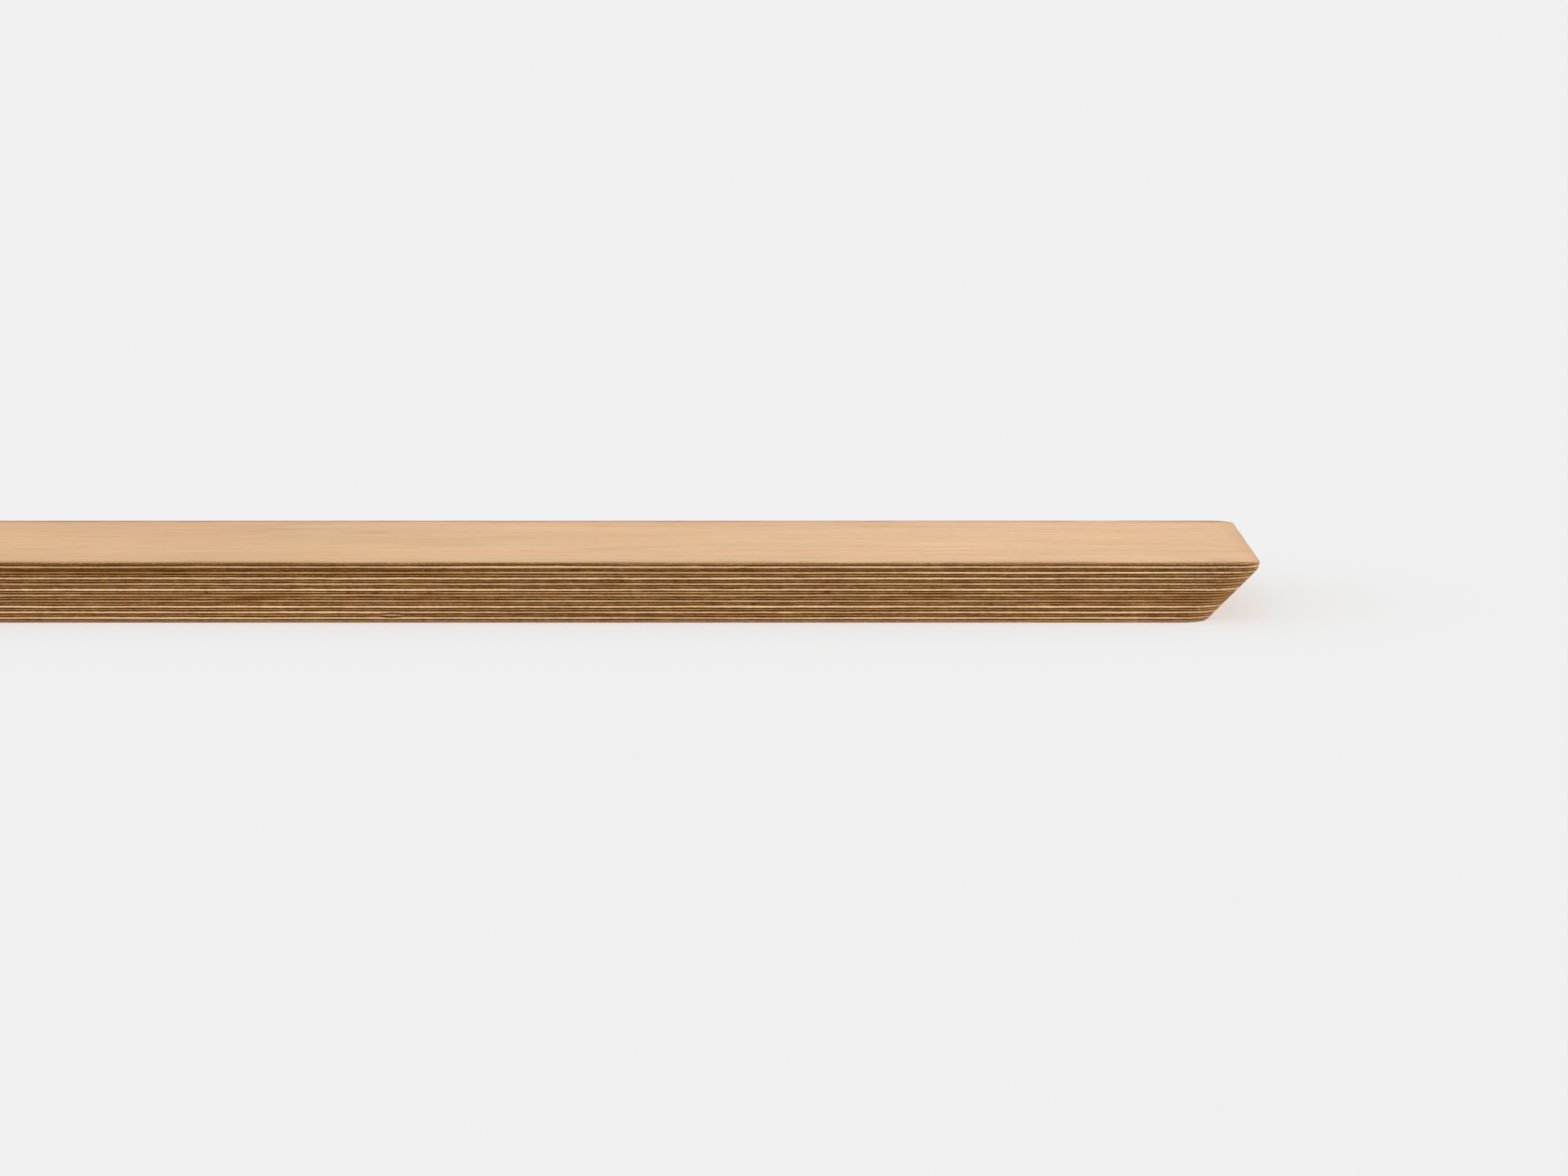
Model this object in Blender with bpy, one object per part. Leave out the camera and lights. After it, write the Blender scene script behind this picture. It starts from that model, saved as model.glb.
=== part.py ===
"""Scaffold plank: a plywood board of glued veneers, with an undercut nose at each end.

Units are metres. +X runs along the plank, +Z is up, and the origin is under the middle of the
underside. The veneers are stacked from the underside up, long-grain and cross-grain in turn, with
long grain on both faces. Each veneer is a solid of its own, and the thin gap between two veneers
is the room of the glue film that joins them.
"""

from math import cos, hypot, pi, radians, sin, sqrt, tan

import bpy

# Driving dimensions
LENGTH = 1.5
WIDTH = 0.225
PLY_COUNT = 21  # odd, so that both faces are long grain
FACE_PLY = 0.0014
LONG_GRAIN_PLY = 0.00106
CROSS_GRAIN_PLY = 0.001966
GLUE_GAP = 0.0003
UNDERCUT_ANGLE = radians(45)  # of each end, from the vertical
NOSE_RADIUS = 0.009  # from the vertical nose under the top face into the undercut
FOOT_RADIUS = 0.004  # from the undercut into the underside
CORNER_RADIUS = 0.014  # of the upright corners between the long sides and the ends
ARRIS_RADIUS = 0.0008  # of the long arrises, and of the top arris of each end

# How finely round stretches are cut into flats
CORNER_STEPS = 8
NOSE_STEPS = 6
FOOT_STEPS = 3
ARRIS_STEPS = 3

LEAST_LEVEL_STEP = 0.00005  # levels nearer to each other than this are made one

# Name: (colour, roughness)
FINISHES = {
    "long_grain_veneer": ((0.42, 0.25, 0.13, 1.0), 0.68),
    "cross_grain_veneer": ((0.68, 0.45, 0.25, 1.0), 0.72),
    "face_veneer": ((0.76, 0.51, 0.30, 1.0), 0.55),
}


def is_long_grain(number):
    """Veneers are numbered from 1 at the top. The odd ones run along the plank."""
    return number % 2 == 1


def ply_thickness(number):
    if number in (1, PLY_COUNT):
        return FACE_PLY
    return LONG_GRAIN_PLY if is_long_grain(number) else CROSS_GRAIN_PLY


def ply_name(number):
    if number == 1:
        return "top_face_veneer"
    if number == PLY_COUNT:
        return "bottom_face_veneer"
    return f"{'long' if is_long_grain(number) else 'cross'}_ply_{number:02d}"


def plank_thickness():
    wood = sum(ply_thickness(number) for number in range(1, PLY_COUNT + 1))
    return wood + (PLY_COUNT - 1) * GLUE_GAP


def round_inset(depth, radius):
    """How far a quarter round lies behind its tangent, at this depth from its flat face."""
    if depth >= radius:
        return 0.0
    return radius - sqrt(max(radius**2 - (radius - depth) ** 2, 0.0))


def end_inset(height, thickness):
    """How far the end lies behind the plank's full length, at this height."""
    depth = thickness - height
    below_arris = depth - ARRIS_RADIUS
    if below_arris <= 0:
        return round_inset(depth, ARRIS_RADIUS)
    nose_depth = NOSE_RADIUS * sin(UNDERCUT_ANGLE)
    if below_arris <= nose_depth:
        return NOSE_RADIUS - sqrt(NOSE_RADIUS**2 - below_arris**2)
    nose_inset = NOSE_RADIUS * (1 - cos(UNDERCUT_ANGLE))
    slope_inset = nose_inset + (below_arris - nose_depth) * tan(UNDERCUT_ANGLE)
    return slope_inset + foot_inset(height)


def foot_height():
    """The foot round leaves the undercut at this height."""
    return FOOT_RADIUS * (1 - sin(UNDERCUT_ANGLE))


def foot_inset(height):
    """How far the foot round lies behind the undercut's own line."""
    if height >= foot_height():
        return 0.0
    centre_to_round = sqrt(FOOT_RADIUS**2 - (FOOT_RADIUS - height) ** 2)
    round_start = FOOT_RADIUS * cos(UNDERCUT_ANGLE)
    undercut = (foot_height() - height) * tan(UNDERCUT_ANGLE)
    return round_start - centre_to_round - undercut


def side_inset(height, thickness):
    nearest_face = min(height, thickness - height)
    return round_inset(nearest_face, ARRIS_RADIUS)


def corner_reach(height, thickness):
    """The upright corner follows the end, so the undercut stretches it along the plank."""
    nose_depth = thickness - ARRIS_RADIUS - height
    if nose_depth <= 0:
        return CORNER_RADIUS
    lean = min(nose_depth / NOSE_RADIUS, sin(UNDERCUT_ANGLE))
    return CORNER_RADIUS * hypot(1, lean / sqrt(1 - lean**2))


def round_levels(thickness):
    """Heights at which the rounds of the ends and the arrises are cut into flats."""
    levels = []
    for step in range(ARRIS_STEPS + 1):
        depth = ARRIS_RADIUS * (1 - cos(pi / 2 * step / ARRIS_STEPS))
        levels += [depth, thickness - depth]
    for step in range(NOSE_STEPS + 1):
        lean = UNDERCUT_ANGLE * step / NOSE_STEPS
        levels.append(thickness - ARRIS_RADIUS - NOSE_RADIUS * sin(lean))
    for step in range(FOOT_STEPS + 1):
        lean = UNDERCUT_ANGLE + (pi / 2 - UNDERCUT_ANGLE) * step / FOOT_STEPS
        levels.append(FOOT_RADIUS * (1 - sin(lean)))
    return sorted(levels)


def ply_levels(bottom, top, thickness):
    levels = [bottom]
    for level in round_levels(thickness):
        if level > levels[-1] + LEAST_LEVEL_STEP and level < top - LEAST_LEVEL_STEP:
            levels.append(level)
    return levels + [top]


def outline(height, thickness):
    """The plank's plan at this height, anticlockwise from above."""
    inset = side_inset(height, thickness)
    half_length = LENGTH / 2 - end_inset(height, thickness)
    half_width = WIDTH / 2 - inset
    reach = corner_reach(height, thickness) - inset
    radius = CORNER_RADIUS - inset
    points = []
    for quarter, (side_x, side_y) in enumerate([(1, 1), (-1, 1), (-1, -1), (1, -1)]):
        for step in range(CORNER_STEPS + 1):
            turn = pi / 2 * (quarter + step / CORNER_STEPS)
            x = side_x * (half_length - reach) + reach * cos(turn)
            y = side_y * (half_width - radius) + radius * sin(turn)
            points.append((x, y, height))
    return points


def loft(levels, thickness):
    """A closed mesh through the plan at each level, from the lowest up."""
    rings = [outline(height, thickness) for height in levels]
    count = len(rings[0])
    vertices = [point for ring in rings for point in ring]
    faces = [tuple(reversed(range(count)))]
    for level in range(len(rings) - 1):
        start = level * count
        for i in range(count):
            following = (i + 1) % count
            lower = (start + i, start + following)
            faces.append((*lower, lower[1] + count, lower[0] + count))
    faces.append(tuple(range((len(rings) - 1) * count, len(rings) * count)))
    return vertices, faces


def finish_name(number):
    if number in (1, PLY_COUNT):
        return "face_veneer"
    return "long_grain_veneer" if is_long_grain(number) else "cross_grain_veneer"


def make_materials():
    materials = {}
    for name, (colour, roughness) in FINISHES.items():
        material = bpy.data.materials.new(name)
        material.use_nodes = True
        shader = material.node_tree.nodes["Principled BSDF"]
        shader.inputs["Base Color"].default_value = colour
        shader.inputs["Roughness"].default_value = roughness
        shader.inputs["Metallic"].default_value = 0.0
        material.diffuse_color = colour
        materials[name] = material
    return materials


def make_ply(number, top, thickness, plank, material):
    bottom = 0.0 if number == PLY_COUNT else top - ply_thickness(number)
    vertices, faces = loft(ply_levels(bottom, top, thickness), thickness)
    mesh = bpy.data.meshes.new(ply_name(number))
    mesh.from_pydata(vertices, [], faces)
    mesh.materials.append(material)
    mesh.shade_smooth()
    mesh.set_sharp_from_angle(angle=radians(35))
    ply = bpy.data.objects.new(ply_name(number), mesh)
    bpy.context.scene.collection.objects.link(ply)
    ply.parent = plank
    return bottom


def clear_scene():
    for item in list(bpy.data.objects):
        bpy.data.objects.remove(item, do_unlink=True)


def build_plank():
    clear_scene()
    plank = bpy.data.objects.new("scaffold_plank", None)
    bpy.context.scene.collection.objects.link(plank)
    materials = make_materials()
    thickness = plank_thickness()
    top = thickness
    for number in range(1, PLY_COUNT + 1):
        material = materials[finish_name(number)]
        bottom = make_ply(number, top, thickness, plank, material)
        top = bottom - GLUE_GAP


build_plank()
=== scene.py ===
"""The looks of the scaffold plank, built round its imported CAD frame.

Every CAD veneer is replaced by a finely cut one with wavy, slightly rounded and chipped edges, and
dark glue films fill the gaps between them. All of it follows the outline that the CAD veneers have
at each height. Units are metres: +X runs along the plank and +Z is up.
"""

import bpy
import numpy as np
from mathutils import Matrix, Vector, noise


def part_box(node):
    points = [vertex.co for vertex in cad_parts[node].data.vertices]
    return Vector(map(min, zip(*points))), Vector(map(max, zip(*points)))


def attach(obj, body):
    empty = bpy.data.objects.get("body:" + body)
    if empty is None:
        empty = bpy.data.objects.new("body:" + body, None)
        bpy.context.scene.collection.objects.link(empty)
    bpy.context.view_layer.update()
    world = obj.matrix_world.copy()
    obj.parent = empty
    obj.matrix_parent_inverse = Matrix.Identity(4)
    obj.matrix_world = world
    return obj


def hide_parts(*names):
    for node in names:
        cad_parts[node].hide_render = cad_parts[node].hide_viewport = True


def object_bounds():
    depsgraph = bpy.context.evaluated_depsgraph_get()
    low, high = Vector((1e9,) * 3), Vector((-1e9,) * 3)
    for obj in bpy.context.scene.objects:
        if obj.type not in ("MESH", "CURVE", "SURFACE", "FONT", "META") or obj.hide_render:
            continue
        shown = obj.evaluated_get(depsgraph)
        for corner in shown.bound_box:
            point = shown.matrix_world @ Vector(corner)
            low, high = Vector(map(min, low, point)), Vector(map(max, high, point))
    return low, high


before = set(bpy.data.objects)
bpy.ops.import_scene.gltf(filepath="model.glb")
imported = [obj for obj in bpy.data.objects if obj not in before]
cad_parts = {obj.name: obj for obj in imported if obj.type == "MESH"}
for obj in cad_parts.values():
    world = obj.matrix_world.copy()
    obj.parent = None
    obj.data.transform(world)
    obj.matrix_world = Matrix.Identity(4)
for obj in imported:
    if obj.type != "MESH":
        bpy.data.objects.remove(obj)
cad_low, cad_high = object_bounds()

# How finely each veneer's edge is cut, as points along it
LONG_CUTS = 600
END_CUTS = 84
CORNER_CUTS = 14
HALF_LOOP = (LONG_CUTS + 1) + (END_CUTS + 1) + 2 * (CORNER_CUTS - 1)

# The edge relief, in metres, and how many waves of it there are in a metre of edge
WAVE, WAVES = 0.00012, 14  # how far a glue line strays from its level
RIPPLE, RIPPLES = 0.00005, 70
FILM = 0.00052  # thickness of a glue film where it shows, with what it has soaked into
FILM_SPREAD, FILM_WAVES = 0.0001, 120
FILM_RECESS, FILM_RECESS_WAVES = 0.00016, 160  # how far a film lies behind the veneers' edges
LONG_GRAIN_RECESS = 0.00006
ROUGHNESS_RECESS, ROUGHNESS_WAVES = 0.00008, 260
CHIP_DEPTH = 0.00035
CHIP_HALF_WIDTHS = (0.8, 3.2)  # in points along the edge
CHIPS_A_VENEER = 9
RIM_RING = 0.012  # width of the ring inside the arris of an outer face, less than the corner radius

# Rows of an edge, from 0 at a veneer's underside to 1 at its top, and how far each lies back
CROSS_ROWS = (
    (0.0, 0.00012),
    (0.15, 0.00003),
    (0.35, 0.0),
    (0.65, 0.0),
    (0.85, 0.00003),
    (1.0, 0.00012),
)
LONG_ROWS = ((0.0, 0.00010), (0.3, 0.00002), (0.7, 0.00002), (1.0, 0.00010))

# Lightness of each veneer's edge, from 0 to 1, at these places along the plank
TONE_PLACES = (-0.05, 0.10, 0.35, 0.70)
CROSS_TONES = {
    2: (0.35, 0.50, 0.65, 0.60),
    4: (0.05, 0.15, 0.30, 0.75),
    6: (0.65, 0.75, 0.75, 0.75),
    8: (0.30, 0.45, 0.40, 0.50),
    10: (0.95, 0.95, 0.85, 0.90),
    12: (0.25, 0.10, 0.25, 0.25),
    14: (0.25, 0.25, 0.35, 0.25),
    16: (0.85, 0.85, 0.80, 0.85),
    18: (0.70, 0.70, 0.45, 0.70),
    20: (0.60, 0.75, 0.50, 0.75),
}
LONG_TONES = {
    1: (0.05, 0.15, 0.30, 0.35),
    3: (0.05, 0.10, 0.30, 0.25),
    5: (0.35, 0.50, 0.55, 0.45),
    7: (0.50, 0.55, 0.45, 0.60),
    9: (0.55, 0.50, 0.40, 0.65),
    11: (0.70, 0.95, 0.95, 0.75),
    13: (0.70, 0.75, 0.65, 0.65),
    15: (0.65, 0.65, 0.55, 0.90),
    17: (0.65, 0.60, 0.55, 0.65),
    19: (0.55, 0.60, 0.40, 0.60),
    21: (0.55, 0.60, 0.50, 0.60),
}
TONE_DRIFT, DRIFT_WAVES = 0.10, 9  # a slow drift on top of those
FINE_DRIFT, FINE_DRIFT_WAVES = 0.04, 45
END_FADE = 0.05  # the veneers grow more alike over this length, near each end
END_LIFT, END_DROP = 0.15, -0.35  # by which long-grain and cross-grain veneers change there

# Small pale or dark marks in the front edge: veneer, place along the plank, half length, tone change
PATCHES = (
    (18, 0.455, 0.006, 0.45),
    (19, 0.201, 0.008, 0.3),
    (8, 0.33, 0.011, -0.3),
    (12, 0.62, 0.02, -0.25),
    (12, 0.545, 0.018, -0.3),
    (12, 0.125, 0.02, -0.3),
    (14, 0.10, 0.018, -0.4),
    (13, 0.112, 0.02, -0.6),
)
# Knots that thicken a veneer in the front edge: veneer, place along the plank, half length, rise
KNOTS = ((19, 0.201, 0.009, 0.0004), (13, 0.075, 0.012, 0.00025), (9, -0.46, 0.010, 0.0004))

# The texture coordinates of each piece: the two faces lie below, and the edge is cut into strips above
HIDDEN_FACE_ROOM = ((0.0, 0.14), (0.145, 0.285))
INNER_EDGE_ROOM, INNER_STRIPS = (0.29, 1.0), 24
SHOWN_FACE_ROOM, UNSEEN_FACE_ROOM = (0.30, 1.0), (0.0, 0.04)
OUTER_EDGE_ROOM, OUTER_STRIPS = (0.045, 0.295), 12
FILM_FACE_ROOMS, FILM_EDGE_ROOM, FILM_STRIPS = ((0, 0.05), (0.06, 0.11)), 0.12, 6
STRIP_MARGIN = 0.12


def linear(red, green, blue):
    """A colour from its 0 to 255 display values."""
    shares = [value / 255 for value in (red, green, blue)]
    return (*[s / 12.92 if s <= 0.04045 else ((s + 0.055) / 1.055) ** 2.4 for s in shares], 1.0)


# ---------------------------------------------------------------- the plank's outline


def node_points(node):
    return np.array([v.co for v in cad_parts[node].data.vertices], float)


def cad_section():
    """At each CAD level: height, half length, half width, and the corner's reach along and across."""
    points = np.concatenate([node_points(node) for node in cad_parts])
    rows = []
    for height in np.unique(points[:, 2].round(6)):
        x, y = abs(points[abs(points[:, 2] - height) < 2e-6][:, :2]).T
        straight_x = x[y > y.max() - 2e-5].max()
        straight_y = y[x > x.max() - 2e-5].max()
        rows.append((height, x.max(), y.max(), x.max() - straight_x, y.max() - straight_y))
    return np.array(rows).T


def half_loop():
    """Half of the loop round the plank, from the front left, as (straight part, corner part) shares."""
    along = np.linspace(-1, 1, LONG_CUTS + 1)
    across = np.linspace(-1, 1, END_CUTS + 1)
    turns = np.linspace(0, np.pi / 2, CORNER_CUTS + 1)[1:-1]
    ones = np.ones
    front = np.stack([along, -ones(len(along)), 0 * along, -ones(len(along))], 1)
    first = np.stack([ones(len(turns)), -ones(len(turns)), np.sin(turns), -np.cos(turns)], 1)
    end = np.stack([ones(len(across)), across, ones(len(across)), 0 * across], 1)
    second = np.stack([ones(len(turns)), ones(len(turns)), np.cos(turns), np.sin(turns)], 1)
    return np.concatenate([front, first, end, second])


SECTION = cad_section()
LOOP = np.concatenate([half_loop(), -half_loop()])
OUTWARD = LOOP[:, 2:] / np.linalg.norm(LOOP[:, 2:], axis=1, keepdims=True)


def on_outline(heights, recess):
    """The loop's points at these heights, each set back from the CAD outline by its recess."""
    at_heights = (np.interp(heights, SECTION[0], row) for row in SECTION[1:])
    half_length, half_width, reach, radius = at_heights
    x = LOOP[:, 0] * (half_length - reach) + LOOP[:, 2] * reach - OUTWARD[:, 0] * recess
    y = LOOP[:, 1] * (half_width - radius) + LOOP[:, 3] * radius - OUTWARD[:, 1] * recess
    return np.stack([x, y, heights], 1)


PLAN = on_outline(np.full(len(LOOP), (cad_low.z + cad_high.z) / 2), 0.0)[:, :2]
END_SHARE = LOOP[:, 2] ** 2  # 0 on the long sides, 1 on the ends


def field(scale, seed):
    """Smooth noise round the loop, about -1 to 1, with this many waves a metre."""
    return np.array([2 * noise.noise(Vector((x * scale, y * scale, seed))) for x, y in PLAN])


# ---------------------------------------------------------------- veneers and glue films


def veneers():
    """(number, CAD node, underside, top) of each veneer, numbered from 1 at the top."""
    boxes = sorted((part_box(node) + (node,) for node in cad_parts), key=lambda b: -b[0].z)
    return [(i + 1, node, low.z, high.z) for i, (low, high, node) in enumerate(boxes)]


def glue_lines(stack):
    """For each gap between veneers, its film's underside and top round the loop."""
    lines = []
    for number, _, underside, _ in stack[:-1]:
        next_top = stack[number][3]
        middle = (underside + next_top) / 2
        middle = middle + WAVE * field(WAVES, number * 3.7) + RIPPLE * field(RIPPLES, number * 5.3 + 40)
        for knotted, place, half, rise in KNOTS:
            near = np.clip(1 - ((PLAN[:, 0] - place) / half) ** 2, 0, 1) ** 2 * (PLAN[:, 1] < 0)
            middle = middle + near * rise * ((number == knotted - 1) - (number == knotted))
        spread = FILM_SPREAD * field(FILM_WAVES, number * 2.9 + 90)
        thickness = np.clip(FILM + spread, FILM / 2, 2 * FILM)
        lines.append((middle - thickness / 2, middle + thickness / 2))
    return lines


def chips(number, random):
    """How far small chips set back the edge of one veneer, round the loop, at its underside and top."""
    depths = np.zeros((2, len(LOOP)))
    index = np.arange(len(LOOP))
    for _ in range(CHIPS_A_VENEER):
        centre = random.integers(len(LOOP))
        half = random.uniform(*CHIP_HALF_WIDTHS)
        depth = CHIP_DEPTH * random.uniform(0.4, 1.0)
        shape = np.clip(1 - ((index - centre) / half) ** 2, 0, 1)
        side = random.integers(2)
        depths[side] = np.maximum(depths[side], depth * shape)
    return depths


def edge_rows(number, underside, top, random):
    """(heights, recess, millimetres from the nearest glue line) of each row of a veneer's edge."""
    is_long = number % 2 == 1
    chipped = chips(number, random)
    rough = ROUGHNESS_RECESS * abs(field(ROUGHNESS_WAVES, number * 1.9 + 200)) * is_long
    rows = []
    for share, recess in LONG_ROWS if is_long else CROSS_ROWS:
        near_chip = chipped[0] * max(1 - 2.2 * share, 0) + chipped[1] * max(2.2 * share - 1.2, 0)
        back = recess + LONG_GRAIN_RECESS * is_long + rough + near_chip
        depth = 1000 * min(share, 1 - share) * (top - underside)
        rows.append((underside + share * (top - underside), back, depth))
    return rows


def face_rows(flat, glued):
    """The edge rows of a face veneer, over its arris and onto a ring of its flat face."""
    up = flat > glued.mean()
    room = abs(glued - flat).min() - 0.0002
    levels = SECTION[0][(abs(SECTION[0] - flat) > 1e-5) & (abs(SECTION[0] - flat) < room)]
    rough = ROUGHNESS_RECESS * abs(field(ROUGHNESS_WAVES, 300 + up))
    places = [(glued, 0.0001 + rough), (glued + 0.2 * (flat - glued), 0.00002 + rough)]
    places += [(np.full(len(LOOP), level), 0.4 * rough) for level in sorted(levels, reverse=not up)]
    places += [(np.full(len(LOOP), flat), 0 * rough), (np.full(len(LOOP), flat), RIM_RING + 0 * rough)]
    rows, gone, last = [], 0.0, None
    for heights, recess in places:
        points = on_outline(heights, recess)
        gone = gone + (0 if last is None else 1000 * np.linalg.norm(points - last, axis=1))
        rows.append((heights, recess, gone + np.zeros(len(LOOP))))
        last = points
    return rows if up else rows[::-1]


def loop_faces(row_count):
    """The two faces and the edge of a closed slab of rows of loop points, as index lists."""
    count = len(LOOP)
    faces = []
    for base, turned in ((0, True), ((row_count - 1) * count, False)):
        opposite = HALF_LOOP + LONG_CUTS
        cap = [(i, i + 1, opposite - i - 1, opposite - i) for i in range(LONG_CUTS)]
        cap.append(tuple(range(LONG_CUTS, HALF_LOOP + 1)))
        cap.append((*range(opposite, count), 0))
        faces += [tuple(base + i for i in (face[::-1] if turned else face)) for face in cap]
    cap_faces = len(faces)
    for row in range(row_count - 1):
        for i in range(count):
            j = (i + 1) % count
            low, high = row * count, (row + 1) * count
            faces.append((low + i, low + j, high + j, high + i))
    return faces, cap_faces


def face_places(points, room):
    """Texture places of a face's points, seen from above, within a room from low to high."""
    u = (points[:, 0] / SECTION[1].max() + 1) / 2
    v = room[0] + (room[1] - room[0]) * (points[:, 1] / SECTION[2].max() + 1) / 2
    return np.stack([u, v], 1)


def edge_places(row, first, row_count, room, strips):
    """Texture places of an edge quad. The edge is cut into strips, laid one above the other."""
    strip_points = -(-len(LOOP) // strips)
    strip_room = (room[1] - room[0]) / strips
    strip, within = divmod(first, strip_points)
    places = []
    for step, rise in ((0, 0), (1, 0), (1, 1), (0, 1)):
        share = STRIP_MARGIN + (1 - 2 * STRIP_MARGIN) * (row + rise) / (row_count - 1)
        places.append(((within + step) / strip_points, room[0] + strip_room * (strip + share)))
    return places


def lay_out(points, faces, cap_faces, row_count, layout):
    """The texture places of every face corner, in the order of the faces."""
    face_rooms, edge_room, strips = layout
    places = []
    for index, face in enumerate(faces):
        if index < cap_faces:
            places.append(face_places(points[list(face)], face_rooms[index * 2 // cap_faces]))
        else:
            row, first = divmod(index - cap_faces, len(LOOP))
            places.append(edge_places(row, first, row_count, edge_room, strips))
    return np.concatenate(places)


def piece_of(name, slabs, material):
    """One object of closed slabs, each given as (rows, tones, layout), its rows from the lowest up."""
    parts = {"points": [], "tone": [], "depth": [], "end_share": [], "places": []}
    faces, flats = [], []
    for rows, tones, layout in slabs:
        points = np.concatenate([on_outline(heights, recess) for heights, recess, _ in rows])
        slab_faces, cap_faces = loop_faces(len(rows))
        start = sum(len(done) for done in parts["points"])
        faces += [tuple(start + i for i in face) for face in slab_faces]
        flats += [index < cap_faces for index in range(len(slab_faces))]
        parts["points"].append(points)
        parts["tone"].append(np.tile(tones, len(rows)))
        parts["depth"].append(np.concatenate([depth for _, _, depth in rows]))
        parts["end_share"].append(np.tile(END_SHARE, len(rows)))
        parts["places"].append(lay_out(points, slab_faces, cap_faces, len(rows), layout))
    whole = {key: np.concatenate(values) for key, values in parts.items()}
    mesh = bpy.data.meshes.new(name)
    mesh.from_pydata(whole["points"].tolist(), [], faces)
    for key in ("tone", "depth", "end_share"):
        values = whole[key].astype(np.float32)
        mesh.attributes.new(key, "FLOAT", "POINT").data.foreach_set("value", values)
    mesh.uv_layers.new(name="OFBake").data.foreach_set("uv", whole["places"].ravel())
    mesh.materials.append(material)
    mesh.polygons.foreach_set("use_smooth", [not flat for flat in flats])
    mesh.set_sharp_from_angle(angle=0.7)
    piece = bpy.data.objects.new(name, mesh)
    bpy.context.scene.collection.objects.link(piece)
    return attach(piece, "root")


def tones_of(number):
    """Lightness of one veneer round the loop: its own tone, a slow drift and any patches."""
    own = LONG_TONES.get(number) or CROSS_TONES[number]
    drift = TONE_DRIFT * field(DRIFT_WAVES, number * 4.1 + 500)
    drift += FINE_DRIFT * field(FINE_DRIFT_WAVES, number * 6.7 + 600)
    near_end = np.clip(1 - (PLAN[:, 0].max() - abs(PLAN[:, 0])) / END_FADE, 0, 1)
    tones = np.interp(PLAN[:, 0], TONE_PLACES, own) + drift
    tones += near_end * (END_LIFT if number % 2 else END_DROP)
    for patched, place, half, change in PATCHES:
        near = np.clip(1 - ((PLAN[:, 0] - place) / half) ** 2, 0, 1) * (PLAN[:, 1] < 0)
        tones += change * near * (patched == number)
    return np.clip(tones, 0, 1)


def make_veneers(materials):
    random = np.random.default_rng(7)
    stack = veneers()
    lines = glue_lines(stack)
    last = len(stack)
    for number, node, underside, top in stack:
        low = np.full(len(LOOP), underside) if number == last else lines[number - 1][1]
        high = np.full(len(LOOP), top) if number == 1 else lines[number - 2][0]
        layout = (HIDDEN_FACE_ROOM, INNER_EDGE_ROOM, INNER_STRIPS)
        slot = "long_grain_veneer" if number % 2 else "cross_grain_veneer"
        if number in (1, last):
            slot = "face_veneer"
            rows = face_rows(top, low) if number == 1 else face_rows(underside, high)
            rooms = (UNSEEN_FACE_ROOM, SHOWN_FACE_ROOM)
            layout = (rooms if number == 1 else rooms[::-1], OUTER_EDGE_ROOM, OUTER_STRIPS)
        else:
            rows = edge_rows(number, low, high, random)
        piece = piece_of(node + "_wood", [(rows, tones_of(number), layout)], materials[slot])
        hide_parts(node)
    return lines


def make_glue_films(lines, material):
    slabs = []
    for number, (low, high) in enumerate(lines):
        recess = FILM_RECESS * (1 + 0.5 * field(FILM_RECESS_WAVES, number * 8.3 + 700))
        rows = [(low, recess, 0 * low), (high, recess, 0 * low)]
        tones = np.clip(0.5 + 0.5 * field(60, number * 2.3 + 800), 0, 1)
        start, room = number / len(lines), 1 / len(lines)
        face_rooms = [(start + a * room, start + b * room) for a, b in FILM_FACE_ROOMS]
        layout = (face_rooms, (start + FILM_EDGE_ROOM * room, start + room), FILM_STRIPS)
        slabs.append((rows, tones, layout))
    piece_of("glue_films", slabs, material)


# ---------------------------------------------------------------- materials


SPREAD_SOCKETS = ("From Min", "From Max", "To Min", "To Max")


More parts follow.
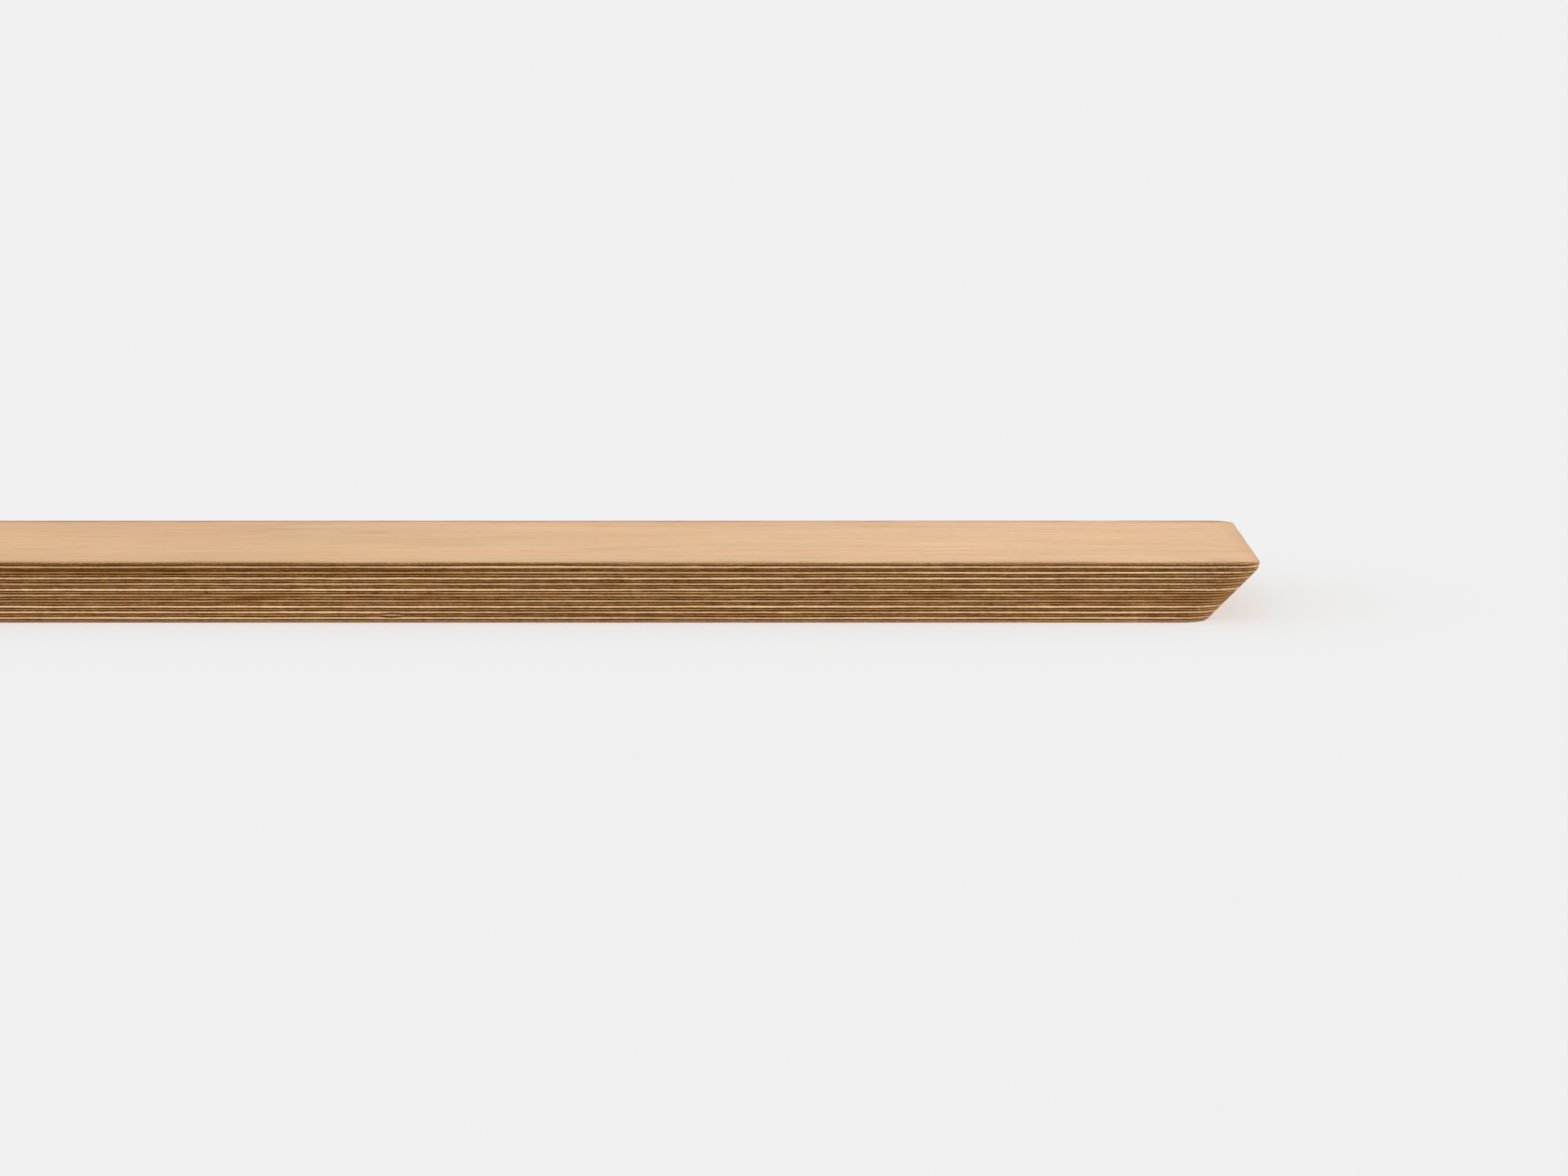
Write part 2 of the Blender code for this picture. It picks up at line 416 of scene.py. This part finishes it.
class Recipe:
    """One material, with short calls for the nodes that wood needs."""

    def __init__(self, name, roughness=0.6, specular=0.25):
        self.material = bpy.data.materials.new(name)
        self.material.use_nodes = True
        self.tree = self.material.node_tree
        self.shader = self.tree.nodes["Principled BSDF"]
        self.shader.inputs["Roughness"].default_value = roughness
        self.shader.inputs["Specular IOR Level"].default_value = specular
        self.place = self.tree.nodes.new("ShaderNodeTexCoord").outputs["Object"]

    def feed(self, socket, value):
        if isinstance(value, bpy.types.NodeSocket):
            self.tree.links.new(value, socket)
        else:
            socket.default_value = value

    def attribute(self, name):
        node = self.tree.nodes.new("ShaderNodeAttribute")
        node.attribute_name = name
        return node.outputs["Fac"]

    def noise(self, waves, detail=3.0, seed=0.0, distortion=0.0):
        """Noise about 0.5, with this many waves a metre along X, Y and Z."""
        mapping = self.tree.nodes.new("ShaderNodeMapping")
        mapping.inputs["Location"].default_value = (seed, seed * 1.7, seed * 2.3)
        mapping.inputs["Scale"].default_value = waves
        self.feed(mapping.inputs["Vector"], self.place)
        texture = self.tree.nodes.new("ShaderNodeTexNoise")
        texture.inputs["Scale"].default_value = 1.0
        texture.inputs["Detail"].default_value = detail
        texture.inputs["Distortion"].default_value = distortion
        self.feed(texture.inputs["Vector"], mapping.outputs[0])
        return texture.outputs["Fac"]

    def math(self, operation, first, second=0.0):
        node = self.tree.nodes.new("ShaderNodeMath")
        node.operation = operation
        self.feed(node.inputs[0], first)
        self.feed(node.inputs[1], second)
        return node.outputs[0]

    def spread(self, value, low, high, to_low=0.0, to_high=1.0, smooth=False):
        """value from low to high, as to_low to to_high, held between those two."""
        node = self.tree.nodes.new("ShaderNodeMapRange")
        node.interpolation_type = "SMOOTHSTEP" if smooth else "LINEAR"
        for name, number in zip(SPREAD_SOCKETS, (low, high, to_low, to_high)):
            node.inputs[name].default_value = number
        self.feed(node.inputs["Value"], value)
        return node.outputs[0]

    def blend(self, share, first, second):
        node = self.tree.nodes.new("ShaderNodeMix")
        node.data_type = "RGBA"
        self.feed(node.inputs["Factor"], share)
        self.feed(node.inputs["A"], first)
        self.feed(node.inputs["B"], second)
        return node.outputs["Result"]

    def shade(self, colour, amount):
        """colour times amount, which is the same for red, green and blue."""
        node = self.tree.nodes.new("ShaderNodeVectorMath")
        node.operation = "SCALE"
        self.feed(node.inputs[0], colour if isinstance(colour, bpy.types.NodeSocket) else colour[:3])
        self.feed(node.inputs["Scale"], amount)
        return node.outputs[0]

    def along(self):
        """Metres along the plank, from its middle."""
        split = self.tree.nodes.new("ShaderNodeSeparateXYZ")
        self.feed(split.inputs[0], self.place)
        return split.outputs["X"]

    def bump(self, value, distance, strength=1.0):
        node = self.tree.nodes.new("ShaderNodeBump")
        node.inputs["Distance"].default_value = distance
        node.inputs["Strength"].default_value = strength
        self.feed(node.inputs["Height"], value)
        self.feed(self.shader.inputs["Normal"], node.outputs[0])

    def finish(self, colour, roughness):
        self.feed(self.shader.inputs["Base Color"], colour)
        self.feed(self.shader.inputs["Roughness"], roughness)
        return self.material


# Dark of the border beside the glue lines, part glue stain and part painted shade of the recessed
# joints; also the dark of pits in end grain
GLUE_STAIN_AND_SHADE = linear(80, 46, 6)
CROSS_DARK = linear(152, 109, 67)
CROSS_PIT = linear(112, 74, 36)
CROSS_PALE = linear(232, 193, 150)
LONG_DARK = linear(102, 64, 19)
LONG_PALE = linear(182, 137, 86)
END_GRAIN = linear(176, 134, 92)
FACE_WOOD = linear(222, 185, 142)
FACE_LATE_WOOD = linear(206, 161, 114)
FACE_PINK = linear(226, 183, 144)
FACE_WORN = linear(172, 129, 86)
PORE = linear(168, 122, 82)
TORN_GRAIN = linear(146, 104, 62)
FILM_DARK = linear(58, 31, 2)
FILM_PALE = linear(96, 59, 16)

# How far the dark border beside the glue reaches into a veneer's edge, and how raggedly, in
# millimetres; it is part glue stain and part painted shade of the recessed joint
CROSS_STAIN_AND_SHADE = (0.43, 0.10)
LONG_STAIN_AND_SHADE = (0.15, 0.09)


def near_end(r, most):
    """0 along most of the plank, rising to most at the ends of its long sides."""
    return r.spread(r.math("ABSOLUTE", r.along()), 0.67, 0.735, 0.0, most)


def stained_and_shaded(r, colour, depth, end, stain_and_shade):
    """colour with a dark border beside the glue, part glue stain and part painted shade of the recessed
    joint; its reach and rag are given in millimetres.
    """
    reach, rag = stain_and_shade
    ragged = r.noise((300, 300, 450), 3.0, 23.0)
    border = r.math("ADD", depth, r.spread(ragged, 0.3, 0.7, -rag, rag))
    dark = r.spread(border, 0.5 * reach, 1.1 * reach, 0.9, 0.0, smooth=True)
    dark = r.math("MULTIPLY", dark, r.spread(end, 0.0, 1.0, 1.0, 0.5))
    return r.blend(dark, colour, GLUE_STAIN_AND_SHADE)


def sawn_long_grain(r, depth, end):
    """Fibres that run along the long sides, dark and rough, and lighter end grain at the ends."""
    fibres = r.noise((30, 30, 2600), 3.0, 5.0)
    speckle = r.noise((500, 500, 1300), 3.0, 17.0)
    lift = r.math(
        "ADD",
        r.spread(fibres, 0.3, 0.7, -0.15, 0.15),
        r.spread(speckle, 0.3, 0.7, -0.2, 0.2),
    )
    side = r.blend(r.math("ADD", r.attribute("tone"), lift), LONG_DARK, LONG_PALE)
    pits = r.noise((900, 900, 900), 2.0, 33.0)
    grain_ends = r.shade(END_GRAIN, r.spread(speckle, 0.35, 0.65, 0.7, 1.12))
    grain_ends = r.blend(r.spread(pits, 0.52, 0.62, 0.0, 0.75), grain_ends, GLUE_STAIN_AND_SHADE)
    end_grain = r.math("MAXIMUM", r.spread(end, 0.03, 0.6, 0.0, 0.75), near_end(r, 0.6))
    colour = r.blend(end_grain, side, grain_ends)
    # The border beside the glue is painted dark: part glue stain, part painted shade
    return stained_and_shaded(r, colour, depth, end, LONG_STAIN_AND_SHADE), fibres, speckle


def cross_grain_veneer():
    """Fibre ends on the long sides: pale and smooth, darkened where they meet the glue by glue stain
    and painted shade.
    """
    r = Recipe("cross_grain_veneer", specular=0.04)
    speckle = r.noise((700, 700, 1500), 2.0, 3.0)
    smear = r.noise((35, 35, 900), 3.0, 11.0)
    tone = r.math("ADD", r.attribute("tone"), r.spread(smear, 0.3, 0.7, -0.12, 0.12))
    colour = r.blend(tone, CROSS_DARK, CROSS_PALE)
    colour = r.shade(colour, r.spread(speckle, 0.3, 0.7, 0.94, 1.06))
    # Painted dark border beside the glue: part glue stain, part painted shade
    colour = stained_and_shaded(r, colour, r.attribute("depth"), r.attribute("end_share"), CROSS_STAIN_AND_SHADE)
    pits = r.spread(r.noise((620, 620, 900), 2.0, 47.0), 0.5, 0.62, 0.0, 1.0)
    colour = r.blend(r.math("MULTIPLY", pits, near_end(r, 0.5)), colour, CROSS_PIT)
    r.bump(r.math("ADD", speckle, smear), 0.00012, 0.5)
    return r.finish(colour, r.spread(speckle, 0.3, 0.7, 0.7, 0.84))


def long_grain_veneer():
    r = Recipe("long_grain_veneer", specular=0.04)
    colour, fibres, speckle = sawn_long_grain(r, r.attribute("depth"), r.attribute("end_share"))
    r.bump(r.math("ADD", fibres, speckle), 0.0002, 0.7)
    return r.finish(colour, r.spread(speckle, 0.3, 0.7, 0.7, 0.88))


def face_grain(r):
    """Fine straight streaks along the plank, in broad bands that are a little pinker or yellower."""
    streaks = r.noise((10, 170, 170), 4.0, 2.0, 1.0)
    lines = r.noise((110, 260, 260), 3.0, 13.0, 0.6)
    bands = r.noise((2.4, 30, 30), 3.0, 8.0, 0.2)
    clouds = r.noise((4, 10, 10), 2.0, 31.0)
    pores = r.noise((45, 1500, 1500), 2.0, 41.0)
    colour = r.blend(r.spread(bands, 0.36, 0.64, 0.0, 0.8), FACE_WOOD, FACE_PINK)
    colour = r.blend(r.spread(streaks, 0.4, 0.72, 0.0, 0.65), colour, FACE_LATE_WOOD)
    colour = r.blend(r.spread(lines, 0.5, 0.72, 0.0, 0.5), colour, FACE_LATE_WOOD)
    colour = r.blend(r.spread(r.along(), -0.05, 0.6, 0.45, 0.0), colour, FACE_LATE_WOOD)
    colour = r.shade(colour, r.spread(clouds, 0.3, 0.7, 0.92, 1.06))
    colour = r.blend(r.spread(pores, 0.66, 0.8, 0.0, 0.25), colour, PORE)
    return colour, streaks, pores


def torn_grain(r, depth):
    """Thin dark tears in the face, a few millimetres in from the arris and along it."""
    middle = r.spread(r.noise((9, 9, 9), 3.0, 77.0), 0.35, 0.65, 1.5, 9.0)
    off = r.math("ABSOLUTE", r.math("SUBTRACT", depth, middle))
    shown = r.spread(r.noise((16, 16, 16), 2.0, 83.0), 0.47, 0.56, 0.0, 0.8)
    on_sides = r.spread(r.attribute("end_share"), 0.0, 0.4, 1.0, 0.0)
    tear = r.math("MULTIPLY", r.spread(off, 0.6, 1.9, 1.0, 0.0), shown)
    return r.math("MULTIPLY", tear, on_sides)


def wear(r, depth):
    """How worn the face is beside the arris: most towards the middle and at the very ends."""
    patchy = r.noise((24, 60, 60), 3.0, 91.0)
    ragged = r.math("ADD", depth, r.spread(patchy, 0.3, 0.7, -3.0, 3.0))
    reach = r.spread(ragged, 2.0, 13.0, 1.0, 0.0)
    middle = r.spread(r.math("ABSOLUTE", r.along()), 0.05, 0.55, 1.1, 0.42)
    on_sides = r.spread(r.attribute("end_share"), 0.0, 0.6, 1.0, 0.35)
    most = r.math("ADD", middle, near_end(r, 0.6))
    return r.math("MULTIPLY", r.math("MULTIPLY", reach, most), on_sides)


def face_veneer():
    """The outer veneers: pale straight grain on the face, and a dark sawn edge."""
    r = Recipe("face_veneer", specular=0.2)
    face, streaks, pores = face_grain(r)
    depth, end = r.attribute("depth"), r.attribute("end_share")
    edge, _, speckle = sawn_long_grain(r, depth, end)
    wander = r.noise((28, 28, 28), 4.0, 57.0)
    widened = r.math("MULTIPLY", near_end(r, 1.4), r.spread(end, 0.2, 0.8, 1.0, 0.0))
    limit = r.math("ADD", r.spread(wander, 0.3, 0.7, 1.3, 2.1), widened)
    limit = r.math("SUBTRACT", limit, r.math("MULTIPLY", end, 0.4))
    inside = r.math("SUBTRACT", depth, limit)
    inside = r.math("ADD", inside, r.spread(speckle, 0.3, 0.7, -0.4, 0.4))
    face = r.blend(wear(r, depth), face, FACE_WORN)
    face = r.blend(torn_grain(r, depth), face, TORN_GRAIN)
    colour = r.blend(r.spread(inside, -0.25, 0.35), edge, face)
    r.bump(r.math("ADD", streaks, pores), 0.00008, 0.4)
    return r.finish(colour, r.spread(streaks, 0.3, 0.7, 0.5, 0.62))


def glue_film():
    """Hard dark resin, broken up along its length."""
    r = Recipe("glue_film", specular=0.06)
    broken = r.noise((260, 260, 260), 3.0, 71.0)
    tone = r.math("ADD", r.attribute("tone"), r.spread(broken, 0.3, 0.7, -0.4, 0.4))
    colour = r.blend(tone, FILM_DARK, FILM_PALE)
    colour = r.blend(r.math("MULTIPLY", r.attribute("end_share"), 0.45), colour, END_GRAIN)
    return r.finish(colour, 0.6)


def make_materials():
    recipes = (cross_grain_veneer, long_grain_veneer, face_veneer, glue_film)
    return {recipe.__name__: recipe() for recipe in recipes}


# ---------------------------------------------------------------- studio

FLOOR_DROP = 0.0003
FLOOR_HALF = 60.0
FLOOR_WHITE = 0.80
LOW_SKY = 0.8714  # as bright as the floor, so that the two meet without a line
HIGH_SKY = 0.42
SKY_FADE = (0.3, 0.5)  # heights on a dome of radius 1 between which one turns into the other
SUN_STRENGTH = 3.274
SUN_TURN = (np.radians(55), 0.0, np.radians(64))
SUN_SOFTNESS = np.radians(30)

# The camera looks straight across the plank, from its front, above and left of its right end
CAMERA_FROM_EDGE = 3.3494
CAMERA_ABOVE_FACE = 0.4322
CAMERA_LEFT_OF_END = 0.3035
CAMERA_DIP = 0.13303
CAMERA_LENS = 122.0


def make_studio():
    half = FLOOR_HALF
    mesh = bpy.data.meshes.new("studio_floor")
    corners = [(-half, -half, 0), (half, -half, 0), (half, half, 0), (-half, half, 0)]
    mesh.from_pydata(corners, [], [(0, 1, 2, 3)])
    floor = bpy.data.objects.new("studio_floor", mesh)
    floor.location.z = cad_low.z - FLOOR_DROP
    bpy.context.scene.collection.objects.link(floor)
    paint = Recipe("studio_floor", roughness=1.0, specular=0.0)
    paint.shader.inputs["Base Color"].default_value = (FLOOR_WHITE, FLOOR_WHITE, FLOOR_WHITE, 1)
    mesh.materials.append(paint.material)
    world = bpy.data.worlds.new("studio")
    world.use_nodes = True
    background = world.node_tree.nodes["Background"]
    background.inputs["Color"].default_value = (1, 1, 1, 1)
    direction = world.node_tree.nodes.new("ShaderNodeTexCoord").outputs["Generated"]
    split = world.node_tree.nodes.new("ShaderNodeSeparateXYZ")
    dome = world.node_tree.nodes.new("ShaderNodeMapRange")
    dome.interpolation_type = "SMOOTHSTEP"
    for name, number in zip(SPREAD_SOCKETS, (*SKY_FADE, LOW_SKY, HIGH_SKY)):
        dome.inputs[name].default_value = number
    world.node_tree.links.new(direction, split.inputs[0])
    world.node_tree.links.new(split.outputs["Z"], dome.inputs["Value"])
    world.node_tree.links.new(dome.outputs[0], background.inputs["Strength"])
    bpy.context.scene.world = world
    light = bpy.data.lights.new("soft_key", "SUN")
    light.energy = SUN_STRENGTH
    light.angle = SUN_SOFTNESS
    key = bpy.data.objects.new("soft_key", light)
    key.rotation_euler = SUN_TURN
    bpy.context.scene.collection.objects.link(key)


def make_camera():
    data = bpy.data.cameras.new("camera")
    data.lens = CAMERA_LENS
    data.sensor_width = 36.0
    data.sensor_fit = "HORIZONTAL"
    data.clip_end = 200.0
    camera = bpy.data.objects.new("camera", data)
    x = cad_high.x - CAMERA_LEFT_OF_END
    camera.location = (x, cad_low.y - CAMERA_FROM_EDGE, cad_high.z + CAMERA_ABOVE_FACE)
    camera.rotation_euler = (np.pi / 2 - CAMERA_DIP, 0.0, 0.0)
    bpy.context.scene.collection.objects.link(camera)
    bpy.context.scene.camera = camera


materials = make_materials()
lines = make_veneers(materials)
make_glue_films(lines, materials["glue_film"])
make_studio()
make_camera()
bpy.context.scene.view_settings.view_transform = "Standard"
